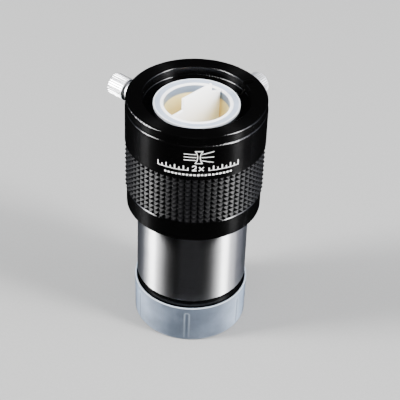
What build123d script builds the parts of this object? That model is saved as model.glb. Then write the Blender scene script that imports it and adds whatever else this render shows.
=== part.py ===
"""Two-inch barlow lens with a 1.25 inch reducer, dust plug and barrel cap.

Units are millimetres.  Z is the optical axis and points to the eyepiece end.
The origin is the middle of the barrel cap's underside, where the part stands.
Angles are measured round Z from +X.  A radius is a distance from Z unless it
belongs to a screw, where it is a distance from the screw's own axis.
"""
from build123d import *
from math import cos, radians, sin, sqrt
import os

# ---------------------------------------------------------------- driving sizes
barrel_radius = 25.4            # 2 inch barrels and reducer sleeve
receiver_bore_radius = 25.5     # takes a 2 inch barrel
eyepiece_bore_radius = 15.93    # takes a 1.25 inch barrel
filter_thread_radius = 24.0     # M48 x 0.75 filter and cell thread
thread_gap = 0.05               # radial gap between mating threads

cap_rim_height = 19.95
barrel_low = 23.8
collar_low = 64.4
grip_low = 74.0
grip_high = 98.0
recess_floor = 115.6
receiver_top = 115.8
reducer_top = 119.98
web_top = 122.8

receiver_radius = 31.25
collar_radius = 30.4
grip_radius = 31.15
grip_seat_radius = 29.0
flange_radius = 30.97
recess_radius = 23.9
edge_chamfer = 0.35
receiver_top_rounding = 0.65
flange_chamfer = 0.3
flange_rounding = 0.5
recess_rounding = 0.4

# ---------------------------------------------------------------- inner tube
tube_bore_radius = 23.2
barrel_thread_radius = 24.9     # thread on the barrel's upper end
barrel_thread_top = 73.0
receiver_low = 67.2
receiver_spigot_radius = 27.95
barrel_stop_height = 87.0       # where a 2 inch barrel comes to rest
baffle_thickness = 0.8
baffle_radius = 20.5
baffle_heights = (40.0, 56.0)

# ---------------------------------------------------------------- clamp rings
ring_groove_radius = 27.0
ring_groove_low = 102.3
ring_groove_high = 108.7
ring_inner_radius = 25.46
ring_outer_radius = 26.5
ring_end_gap = 0.2
ring_split = 3.0
small_groove_radius = 17.3
small_groove_low = 103.8
small_groove_high = 112.2
small_ring_inner_radius = 15.98
small_ring_outer_radius = 16.9
small_relief_radius = 16.3      # between the ring groove and the lower land of the bore
small_land_high = 98.6

# ---------------------------------------------------------------- thumbscrews, M4, screwed fully in
thumb_angles = {"left": 135, "right": 45}
thumb_backed_out = {"left": 2.6, "right": 0.0}
thumb_height = 105.5
thumb_thread_radius = 2.0
thumb_thread_start = 27.1
thumb_boss_start = 32.0
thumb_boss_end = 36.6
thumb_boss_radius = 4.0
thumb_neck_radius = 3.4
thumb_head_start = 37.1
thumb_head_end = 46.0
thumb_head_radius = 5.15
thumb_head_rounding = 0.8
thumb_pad_start = 26.55
thumb_pad_radius = 1.9

# ---------------------------------------------------------------- set screws, M3
set_screw_radius = 1.5
set_screw_angles = (60, 120)
set_screw_height = 69.6
socket_width = 1.5

# ---------------------------------------------------------------- 1.25 inch clamp screw, M3
clamp_angle = 23.8
clamp_slope = 45                # degrees below the recess floor
clamp_floor_radius = 21.6       # where its axis meets the recess floor
clamp_head_depth = 0.9
clamp_pad_depth = 4.55
clamp_tip_depth = 5.75

# ---------------------------------------------------------------- lens cell and glass
cell_radius = 24.9
cell_low = 1.5
cell_shoulder = 23.5            # the washer fills the gap up to the barrel
cell_top = 28.5
cell_bore_radius = 22.5
cell_lip_radius = 21.0
cell_lip_low = 5.5
cell_lip_high = 7.0
lens_radius = 22.45
lens_clear_radius = 21.5
front_edge = (7.0, 14.0)
rear_edge = (14.3, 16.3)
lens_ring_top = 19.3
outer_curve = 160.0
inner_curve = 75.0
rear_curve = 240.0

# ---------------------------------------------------------------- barrel cap
cap_radius = 26.45
cap_base_radius = 26.2
cap_bore_radius = 25.6
cap_floor = 1.2
cap_rounding = 1.1
cap_rib_width = 2.5
cap_rib_reach = 24.95
cap_rib_low = 2.0
cap_rib_high = 17.2
cap_rib_first_angle = -98.5

# ---------------------------------------------------------------- reducer plug
plug_flange_radius = 18.98
plug_flange_low = recess_floor + 0.02
plug_flange_top = 116.6
plug_lip_top = 116.8
plug_radius = 15.85
plug_low = 99.6
plug_floor = 100.8
plug_bore_radius = 14.5
web_angle = 40.3
web_thickness = 1.2
web_half_width = 8.8
web_low_shoulder = 116.8
web_high_shoulder = 118.8


def radial_plane(angle, height):
    """The plane through Z at an angle: x is the distance from Z, y is up."""
    turn = radians(angle)
    return Plane(origin=(0, 0, height), x_dir=(cos(turn), sin(turn), 0), z_dir=(sin(turn), -cos(turn), 0))


def radial_axis(angle, height):
    """The line that leaves Z at an angle, at a height."""
    turn = radians(angle)
    return Axis((0, 0, height), (cos(turn), sin(turn), 0))


def hole_plane(angle, height, distance):
    """A plane square to a radial hole, at a distance from Z, facing outwards."""
    turn = radians(angle)
    centre = (distance * cos(turn), distance * sin(turn), height)
    return Plane(origin=centre, x_dir=(0, 0, 1), z_dir=(cos(turn), sin(turn), 0))


def clamp_plane(depth):
    """A plane square to the inclined clamp screw, at a depth below the recess floor."""
    turn = radians(clamp_angle)
    slope = radians(clamp_slope)
    outwards = (cos(turn) * cos(slope), sin(turn) * cos(slope), sin(slope))
    mouth = (clamp_floor_radius * cos(turn), clamp_floor_radius * sin(turn), recess_floor)
    centre = tuple(start - depth * step for start, step in zip(mouth, outwards))
    return Plane(origin=centre, x_dir=(-sin(turn), cos(turn), 0), z_dir=outwards)


def sagitta(curve):
    """How far a spherical lens surface falls away at the edge of its clear part."""
    return curve - sqrt(curve**2 - lens_clear_radius**2)


def save(piece, name):
    """Label a finished piece and write its STEP file."""
    piece.part.label = name
    export_step(piece.part, f"parts/{name}.step")


os.makedirs("parts", exist_ok=True)

# ================================================================ receiver body
with BuildPart() as receiver_body:
    with BuildSketch(Plane.XZ):
        with BuildLine():
            Polyline(
                (receiver_spigot_radius, receiver_low),
                (receiver_spigot_radius, grip_low),
                (grip_seat_radius, grip_low),
                (grip_seat_radius, grip_high),
                (receiver_radius - edge_chamfer, grip_high),
                (receiver_radius, grip_high + edge_chamfer),
                (receiver_radius, receiver_top - receiver_top_rounding),
            )
            RadiusArc(
                (receiver_radius, receiver_top - receiver_top_rounding),
                (receiver_radius - receiver_top_rounding, receiver_top),
                -receiver_top_rounding,
            )
            Polyline(
                (receiver_radius - receiver_top_rounding, receiver_top),
                (receiver_bore_radius + 0.5, receiver_top),
                (receiver_bore_radius, receiver_top - 0.5),
                (receiver_bore_radius, ring_groove_high),
                (ring_groove_radius, ring_groove_high),
                (ring_groove_radius, ring_groove_low),
                (receiver_bore_radius, ring_groove_low),
                (receiver_bore_radius, barrel_stop_height),
                (tube_bore_radius, barrel_stop_height),
                (tube_bore_radius, grip_low + 0.5),
                (barrel_thread_radius + thread_gap, grip_low + 0.5),
                (barrel_thread_radius + thread_gap, receiver_low),
                (receiver_spigot_radius, receiver_low),
            )
        make_face()
    revolve(axis=Axis.Z)
    for angle in thumb_angles.values():
        with BuildSketch(hole_plane(angle, thumb_height, ring_groove_radius - 1)):
            Circle(thumb_thread_radius + thread_gap)
        extrude(amount=receiver_radius - ring_groove_radius + 2, mode=Mode.SUBTRACT)
save(receiver_body, "receiver_body")

# ================================================================ base collar and its set screws
with BuildPart() as base_collar:
    with BuildSketch(Plane.XZ):
        with BuildLine():
            Polyline(
                (barrel_radius - 0.4, collar_low),
                (collar_radius - 0.2, collar_low),
                (collar_radius, collar_low + 0.2),
                (collar_radius, grip_low - 0.4),
                (collar_radius - 0.4, grip_low),
                (receiver_spigot_radius + thread_gap, grip_low),
                (receiver_spigot_radius + thread_gap, collar_low + 2),
                (barrel_radius - 0.4, collar_low + 2),
                close=True,
            )
        make_face()
    revolve(axis=Axis.Z)
    for angle in set_screw_angles:
        with BuildSketch(hole_plane(angle, set_screw_height, receiver_spigot_radius)):
            Circle(set_screw_radius + 0.02)
        extrude(amount=3, mode=Mode.SUBTRACT)
save(base_collar, "base_collar")

with BuildPart() as collar_set_screws:
    for angle in set_screw_angles:
        with BuildSketch(hole_plane(angle, set_screw_height, receiver_spigot_radius + 0.1)):
            Circle(set_screw_radius)
        extrude(amount=2.0)
        with BuildSketch(hole_plane(angle, set_screw_height, receiver_spigot_radius + 0.9)):
            RegularPolygon(socket_width / 2, 6, major_radius=False)
        extrude(amount=2.0, mode=Mode.SUBTRACT)
save(collar_set_screws, "collar_set_screws")

# ================================================================ rubber grip
with BuildPart() as rubber_grip:
    with BuildSketch(Plane.XZ):
        with BuildLine():
            Polyline(
                (grip_seat_radius + 0.02, grip_low + 0.05),
                (grip_radius - 0.6, grip_low + 0.05),
                (grip_radius, grip_low + 0.65),
                (grip_radius, grip_high - 0.65),
                (grip_radius - 0.6, grip_high - 0.05),
                (grip_seat_radius + 0.02, grip_high - 0.05),
                close=True,
            )
        make_face()
    revolve(axis=Axis.Z)
save(rubber_grip, "rubber_grip")

# ================================================================ chromed nosepiece barrel
with BuildPart() as nosepiece_barrel:
    with BuildSketch(Plane.XZ):
        with BuildLine():
            Polyline(
                (filter_thread_radius, barrel_low),
                (barrel_radius - 0.3, barrel_low),
                (barrel_radius, barrel_low + 0.3),
                (barrel_radius, collar_low),
                (barrel_thread_radius, collar_low),
                (barrel_thread_radius, barrel_thread_top),
                (tube_bore_radius, barrel_thread_top),
                (tube_bore_radius, barrel_low + 6),
                (filter_thread_radius, barrel_low + 6),
                close=True,
            )
        make_face()
    revolve(axis=Axis.Z)
save(nosepiece_barrel, "nosepiece_barrel")

with BuildPart() as light_baffles:
    for height in baffle_heights:
        with BuildSketch(Plane.XY.offset(height)):
            Circle(tube_bore_radius - thread_gap)
            Circle(baffle_radius, mode=Mode.SUBTRACT)
        extrude(amount=baffle_thickness)
save(light_baffles, "light_baffles")

# ================================================================ clamp ring of the 2 inch bore
with BuildPart() as receiver_clamp_ring:
    with BuildSketch(Plane.XY.offset(ring_groove_low + ring_end_gap)):
        Circle(ring_outer_radius)
        Circle(ring_inner_radius, mode=Mode.SUBTRACT)
        with Locations((0, -ring_outer_radius)):
            Rectangle(ring_split, 4, mode=Mode.SUBTRACT)
    extrude(amount=ring_groove_high - ring_groove_low - 2 * ring_end_gap)
save(receiver_clamp_ring, "receiver_clamp_ring")

# ================================================================ thumbscrews and their thrust pads
for side, angle in thumb_angles.items():
    out = thumb_backed_out[side]
    thread_start = thumb_thread_start + out
    boss_start = thumb_boss_start + out
    boss_end = thumb_boss_end + out
    head_start = thumb_head_start + out
    head_end = thumb_head_end + out
    with BuildPart() as thumbscrew:
        with BuildSketch(radial_plane(angle, thumb_height)):
            with BuildLine():
                Polyline(
                    (thread_start, 0),
                    (thread_start, thumb_thread_radius - 0.3),
                    (thread_start + 0.3, thumb_thread_radius),
                    (boss_start, thumb_thread_radius),
                    (boss_start, thumb_boss_radius - 0.3),
                    (boss_start + 0.3, thumb_boss_radius),
                    (boss_end - 0.2, thumb_boss_radius),
                    (boss_end, thumb_boss_radius - 0.2),
                    (boss_end, thumb_neck_radius),
                    (head_start, thumb_neck_radius),
                    (head_start, thumb_head_radius - 0.4),
                    (head_start + 0.4, thumb_head_radius),
                    (head_end - thumb_head_rounding, thumb_head_radius),
                )
                RadiusArc(
                    (head_end - thumb_head_rounding, thumb_head_radius),
                    (head_end, thumb_head_radius - thumb_head_rounding),
                    thumb_head_rounding,
                )
                Polyline(
                    (head_end, thumb_head_radius - thumb_head_rounding),
                    (head_end, 0),
                    (thread_start, 0),
                )
            make_face()
        revolve(axis=radial_axis(angle, thumb_height))
    save(thumbscrew, f"thumbscrew_{side}")

    with BuildPart() as thumb_pad:
        with BuildSketch(hole_plane(angle, thumb_height, thumb_pad_start + out)):
            Circle(thumb_pad_radius)
        extrude(amount=thumb_thread_start - thumb_pad_start - 0.05)
        chamfer(thumb_pad.faces().filter_by(GeomType.PLANE).edges(), length=0.15)
    save(thumb_pad, f"thumb_pad_{side}")

# ================================================================ 2 inch to 1.25 inch reducer
with BuildPart() as reducer_body:
    with BuildSketch(Plane.XZ):
        with BuildLine():
            Polyline(
                (eyepiece_bore_radius, barrel_stop_height + 1),
                (barrel_radius - 0.5, barrel_stop_height + 1),
                (barrel_radius, barrel_stop_height + 1.5),
                (barrel_radius, receiver_top),
                (flange_radius - flange_chamfer, receiver_top),
                (flange_radius, receiver_top + flange_chamfer),
                (flange_radius, reducer_top - flange_rounding),
            )
            RadiusArc(
                (flange_radius, reducer_top - flange_rounding),
                (flange_radius - flange_rounding, reducer_top),
                -flange_rounding,
            )
            Line(
                (flange_radius - flange_rounding, reducer_top),
                (recess_radius + recess_rounding, reducer_top),
            )
            RadiusArc(
                (recess_radius + recess_rounding, reducer_top),
                (recess_radius, reducer_top - recess_rounding),
                -recess_rounding,
            )
            Line(
                (recess_radius, reducer_top - recess_rounding),
                (recess_radius, recess_floor + recess_rounding),
            )
            RadiusArc(
                (recess_radius, recess_floor + recess_rounding),
                (recess_radius - recess_rounding, recess_floor),
                recess_rounding,
            )
            Polyline(
                (recess_radius - recess_rounding, recess_floor),
                (eyepiece_bore_radius + 0.8, recess_floor),
                (eyepiece_bore_radius, recess_floor - 0.8),
                (eyepiece_bore_radius, small_groove_high),
                (small_groove_radius, small_groove_high),
                (small_groove_radius, small_groove_low),
                (small_relief_radius, small_groove_low),
                (small_relief_radius, small_land_high),
                (eyepiece_bore_radius, small_land_high),
                (eyepiece_bore_radius, barrel_stop_height + 1),
            )
        make_face()
    revolve(axis=Axis.Z)
    with BuildSketch(clamp_plane(clamp_tip_depth + 0.4)):
        Circle(set_screw_radius + thread_gap)
    extrude(amount=clamp_tip_depth + 3, mode=Mode.SUBTRACT)
save(reducer_body, "reducer_body")

with BuildPart() as eyepiece_clamp_ring:
    with BuildSketch(Plane.XY.offset(small_groove_low + ring_end_gap)):
        Circle(small_ring_outer_radius)
        Circle(small_ring_inner_radius, mode=Mode.SUBTRACT)
        with Locations((0, -small_ring_outer_radius)):
            Rectangle(ring_split, 4, mode=Mode.SUBTRACT)
    extrude(amount=small_groove_high - small_groove_low - 2 * ring_end_gap)
save(eyepiece_clamp_ring, "eyepiece_clamp_ring")

with BuildPart() as clamp_screw:
    with BuildSketch(clamp_plane(clamp_pad_depth - 0.05)):
        Circle(set_screw_radius)
    extrude(amount=clamp_pad_depth - 0.05 - clamp_head_depth)
    with BuildSketch(clamp_plane(clamp_head_depth + 1.5)):
        RegularPolygon(socket_width / 2, 6, major_radius=False)
    extrude(amount=3, mode=Mode.SUBTRACT)
save(clamp_screw, "clamp_screw")

with BuildPart() as clamp_pad:
    with BuildSketch(clamp_plane(clamp_tip_depth)):
        Circle(set_screw_radius - 0.1)
    extrude(amount=clamp_tip_depth - clamp_pad_depth)
save(clamp_pad, "clamp_pad")

# ================================================================ dust plug of the reducer
with BuildPart() as reducer_plug:
    with BuildSketch(Plane.XZ):
        with BuildLine():
            Polyline(
                (0, plug_low),
                (plug_radius - 0.7, plug_low),
                (plug_radius - 0.2, plug_low + 0.5),
                (plug_radius, recess_floor - 1),
                (plug_radius, plug_flange_low),
                (plug_flange_radius, plug_flange_low),
                (plug_flange_radius, plug_lip_top - 0.15),
                (plug_flange_radius - 0.15, plug_lip_top),
                (plug_flange_radius - 0.7, plug_lip_top),
                (plug_flange_radius - 0.9, plug_flange_top),
                (plug_bore_radius + 1.3, plug_flange_top),
                (plug_bore_radius + 1.0, plug_lip_top + 0.1),
                (plug_bore_radius + 0.4, plug_lip_top + 0.1),
                (plug_bore_radius, plug_lip_top - 0.3),
                (plug_bore_radius - 0.2, plug_floor),
                (0, plug_floor),
                close=True,
            )
        make_face()
    revolve(axis=Axis.Z)
    with BuildSketch(radial_plane(web_angle, 0)):
        with BuildLine():
            Polyline(
                (-plug_bore_radius - 0.2, plug_floor - 0.2),
                (-plug_bore_radius - 0.2, web_low_shoulder),
                (-web_half_width, web_low_shoulder),
                (-web_half_width, web_top),
                (web_half_width, web_top),
                (web_half_width, web_high_shoulder),
                (plug_bore_radius + 0.2, web_low_shoulder + 0.3),
                (plug_bore_radius + 0.2, plug_floor - 0.2),
                close=True,
            )
        make_face()
    extrude(amount=web_thickness / 2, both=True)
save(reducer_plug, "reducer_plug")

# ================================================================ lens cell, washer and retaining ring
with BuildPart() as lens_cell:
    with BuildSketch(Plane.XZ):
        with BuildLine():
            Polyline(
                (filter_thread_radius, cell_low),
                (cell_radius - 0.3, cell_low),
                (cell_radius, cell_low + 0.3),
                (cell_radius, cell_shoulder),
                (filter_thread_radius - thread_gap, cell_shoulder),
                (filter_thread_radius - thread_gap, cell_top),
                (cell_bore_radius, cell_top),
                (cell_bore_radius, cell_lip_high),
                (cell_lip_radius, cell_lip_high),
                (cell_lip_radius, cell_lip_low),
                (filter_thread_radius, cell_lip_low),
                close=True,
            )
        make_face()
    revolve(axis=Axis.Z)
save(lens_cell, "lens_cell")

with BuildPart() as cell_washer:
    with BuildSketch(Plane.XY.offset(cell_shoulder)):
        Circle(cell_radius - 0.05)
        Circle(filter_thread_radius + 0.05, mode=Mode.SUBTRACT)
    extrude(amount=barrel_low - cell_shoulder)
save(cell_washer, "cell_washer")

with BuildPart() as lens_retaining_ring:
    with BuildSketch(Plane.XY.offset(rear_edge[1])):
        Circle(lens_radius)
        Circle(cell_lip_radius, mode=Mode.SUBTRACT)
    extrude(amount=lens_ring_top - rear_edge[1])
    with BuildSketch(Plane.XY.offset(lens_ring_top - 1)):
        Rectangle(2 * lens_radius + 1, 1.5)
    extrude(amount=1, mode=Mode.SUBTRACT)
save(lens_retaining_ring, "lens_retaining_ring")

# ================================================================ glass
with BuildPart() as front_element:
    with BuildSketch(Plane.XZ):
        with BuildLine():
            low, high = front_edge
            Polyline(
                (0, high - sagitta(inner_curve)),
                (0, low + sagitta(outer_curve)),
            )
            RadiusArc((0, low + sagitta(outer_curve)), (lens_clear_radius, low), outer_curve)
            Polyline(
                (lens_clear_radius, low),
                (lens_radius, low),
                (lens_radius, high),
                (lens_clear_radius, high),
            )
            RadiusArc((lens_clear_radius, high), (0, high - sagitta(inner_curve)), inner_curve)
        make_face()
    revolve(axis=Axis.Z)
save(front_element, "front_element")

with BuildPart() as rear_element:
    with BuildSketch(Plane.XZ):
        with BuildLine():
            low, high = rear_edge
            Polyline(
                (0, high - sagitta(rear_curve)),
                (0, low - sagitta(inner_curve)),
            )
            RadiusArc((0, low - sagitta(inner_curve)), (lens_clear_radius, low), -inner_curve)
            Polyline(
                (lens_clear_radius, low),
                (lens_radius, low),
                (lens_radius, high),
                (lens_clear_radius, high),
            )
            RadiusArc((lens_clear_radius, high), (0, high - sagitta(rear_curve)), rear_curve)
        make_face()
    revolve(axis=Axis.Z)
save(rear_element, "rear_element")

with BuildPart() as element_spacer:
    with BuildSketch(Plane.XY.offset(front_edge[1])):
        Circle(lens_radius)
        Circle(lens_clear_radius + 0.1, mode=Mode.SUBTRACT)
    extrude(amount=rear_edge[0] - front_edge[1])
save(element_spacer, "element_spacer")

# ================================================================ barrel cap
with BuildPart() as barrel_cap:
    with BuildSketch(Plane.XZ):
        with BuildLine():
            Polyline(
                (0, 0),
                (cap_base_radius - cap_rounding, 0),
            )
            RadiusArc(
                (cap_base_radius - cap_rounding, 0),
                (cap_base_radius, cap_rounding),
                -cap_rounding,
            )
            Polyline(
                (cap_base_radius, cap_rounding),
                (cap_radius, cap_rim_height - 0.2),
                (cap_radius - 0.2, cap_rim_height),
                (cap_bore_radius + 0.2, cap_rim_height),
                (cap_bore_radius, cap_rim_height - 0.2),
                (cap_bore_radius, cap_floor),
                (0, cap_floor),
                (0, 0),
            )
        make_face()
    revolve(axis=Axis.Z)
    for step in range(6):
        angle = cap_rib_first_angle + 60 * step
        with BuildSketch(hole_plane(angle, 0, cap_rib_reach)):
            with Locations(((cap_rib_low + cap_rib_high) / 2, 0)):
                SlotOverall(cap_rib_high - cap_rib_low, cap_rib_width)
        extrude(amount=cap_bore_radius - cap_rib_reach + 0.3)
save(barrel_cap, "barrel_cap")
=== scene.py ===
"""Finished looks for the two-inch barlow lens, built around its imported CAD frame.

Everything is in metres in the frame of the CAD model: Z is the optical axis, the
origin is the middle of the barrel cap's underside, and -Y is the marked front.
Outlines are written in millimetres as (radius, height) and scaled by MM.
"""
import math
import bmesh
import bpy
from mathutils import Matrix, Vector


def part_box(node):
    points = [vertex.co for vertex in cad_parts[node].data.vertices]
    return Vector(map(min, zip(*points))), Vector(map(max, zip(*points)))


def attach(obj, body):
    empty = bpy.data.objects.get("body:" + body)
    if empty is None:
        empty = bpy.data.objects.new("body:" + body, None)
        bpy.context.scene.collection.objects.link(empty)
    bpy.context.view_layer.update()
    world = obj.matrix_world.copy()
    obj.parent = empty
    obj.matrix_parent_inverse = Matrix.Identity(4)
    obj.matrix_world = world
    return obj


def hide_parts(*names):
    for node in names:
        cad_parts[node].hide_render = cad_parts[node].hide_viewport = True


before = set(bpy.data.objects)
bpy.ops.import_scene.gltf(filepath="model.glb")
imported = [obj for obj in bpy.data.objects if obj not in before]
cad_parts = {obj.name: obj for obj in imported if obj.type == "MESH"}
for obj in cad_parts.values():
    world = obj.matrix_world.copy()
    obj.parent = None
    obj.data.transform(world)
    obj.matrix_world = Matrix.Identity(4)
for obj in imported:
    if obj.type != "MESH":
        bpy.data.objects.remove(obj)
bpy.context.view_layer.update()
MM = 0.001


# ---------------------------------------------------------------- sizes read from the frame
def low_mm(node):
    """Lowest height of a CAD node, in millimetres."""
    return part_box(node)[0].z / MM


def high_mm(node):
    """Highest height of a CAD node, in millimetres."""
    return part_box(node)[1].z / MM


def radius_mm(node):
    """Outer radius of a turned CAD node, in millimetres."""
    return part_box(node)[1].x / MM


# ---------------------------------------------------------------- camera, floor and lights
CAMERA_TURN = math.radians(-6.2)       # the view comes from this far left of the front
CAMERA_DISTANCE = 0.4919               # from the optical axis, level
CAMERA_HEIGHT = 0.4474
CAMERA_PITCH = math.radians(37.98)     # below level
CAMERA_PAN = math.radians(0.356)
CAMERA_ROLL = math.radians(2.265)
CAMERA_LENS = 122.9                    # on a 36 mm sensor


def add_camera():
    data = bpy.data.cameras.new("camera")
    data.lens = CAMERA_LENS
    data.sensor_width = 36
    data.clip_start = 0.01
    camera = bpy.data.objects.new("camera", data)
    bpy.context.scene.collection.objects.link(camera)
    place = Vector((0, -CAMERA_DISTANCE, CAMERA_HEIGHT))
    look = Matrix.Rotation(math.pi / 2 - CAMERA_PITCH, 4, "X")
    pan = Matrix.Rotation(-CAMERA_PAN, 4, "Z")
    roll = Matrix.Rotation(CAMERA_ROLL, 4, "Z")
    turn = Matrix.Rotation(CAMERA_TURN, 4, "Z")
    camera.matrix_world = turn @ Matrix.Translation(place) @ pan @ look @ roll
    bpy.context.scene.camera = camera


def add_floor():
    """A wide floor, hidden from mirror-like reflections."""
    mesh = bpy.data.meshes.new("floor")
    reach = 8.0
    corners = [(-reach, -reach, 0), (reach, -reach, 0), (reach, reach, 0), (-reach, reach, 0)]
    mesh.from_pydata(corners, [], [(0, 1, 2, 3)])
    floor = bpy.data.objects.new("floor", mesh)
    bpy.context.scene.collection.objects.link(floor)
    floor.visible_glossy = False
    mesh.materials.append(floor_material())


LIGHT_DISTANCE = 1.6                   # from the optical axis
LIGHT_TOP = 2.4
FRONT_GLOW_TOP = 1.5                   # of the two faint lights in front
SKY_RISE = (0.78, 0.95)                # heights on the unit sphere between which the sky brightens
SKY_LOW, SKY_OVERHEAD = 0.30, 2.0      # its strength below and above them


def add_softbox(name, turn_deg, width_deg, glow, colour, low=0.0, high=LIGHT_TOP):
    """An upright soft light that spans an angle round the object, from the front, between two heights."""
    width = 2 * LIGHT_DISTANCE * math.tan(math.radians(width_deg / 2))
    data = bpy.data.lights.new(name, "AREA")
    data.shape = "RECTANGLE"
    data.size, data.size_y = width, high - low
    data.energy = glow * math.pi * width * (high - low)
    data.color = colour
    light = bpy.data.objects.new(name, data)
    bpy.context.scene.collection.objects.link(light)
    turn = math.radians(turn_deg)
    light.location = (LIGHT_DISTANCE * math.sin(turn), -LIGHT_DISTANCE * math.cos(turn), (low + high) / 2)
    inwards = Vector((-math.sin(turn), math.cos(turn), 0))
    light.rotation_euler = inwards.to_track_quat("-Z", "Y").to_euler()
    light.visible_camera = False


def add_lights():
    """A bright strip and its fading tail on each side, and two faint lights in front.

    The turned walls mirror the strips as upright bands.
    """
    add_softbox("left_strip", -85, 15, 66.0, (1.0, 0.995, 0.985))
    add_softbox("left_fall", -99, 13, 8.0, (0.93, 0.95, 1.0))
    add_softbox("left_tail", -120, 32, 0.7, (0.78, 0.86, 1.0))
    add_softbox("right_strip", 59.5, 14, 64.0, (1.0, 0.995, 0.985))
    add_softbox("right_fall", 76, 18, 10.0, (0.95, 0.95, 1.0))
    add_softbox("right_low", 96, 20, 2.4, (0.84, 0.87, 1.0))
    add_softbox("right_tail", 123, 32, 0.8, (0.78, 0.84, 1.0))
    add_softbox("front_glow", -8, 42, 0.20, (0.95, 0.93, 1.0), high=FRONT_GLOW_TOP)
    add_softbox("front_right_glow", 32, 34, 0.10, (0.95, 0.93, 1.0), high=FRONT_GLOW_TOP)


def add_sky():
    """A pale sky, brighter overhead, that mirror-like reflections don't see."""
    world = bpy.data.worlds.new("studio")
    bpy.context.scene.world = world
    world.use_nodes = True
    world.cycles_visibility.glossy = False
    nodes, links = world.node_tree.nodes, world.node_tree.links
    place = nodes.new("ShaderNodeTexCoord")
    axes = nodes.new("ShaderNodeSeparateXYZ")
    overhead = nodes.new("ShaderNodeMapRange")
    overhead.interpolation_type = "SMOOTHSTEP"
    overhead.inputs["From Min"].default_value, overhead.inputs["From Max"].default_value = SKY_RISE
    overhead.inputs["To Min"].default_value = SKY_LOW
    overhead.inputs["To Max"].default_value = SKY_OVERHEAD
    links.new(place.outputs["Generated"], axes.inputs[0])
    links.new(axes.outputs[2], overhead.inputs["Value"])
    links.new(overhead.outputs["Result"], nodes["Background"].inputs["Strength"])
    nodes["Background"].inputs["Color"].default_value = (0.93, 0.96, 1.0, 1)


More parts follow.
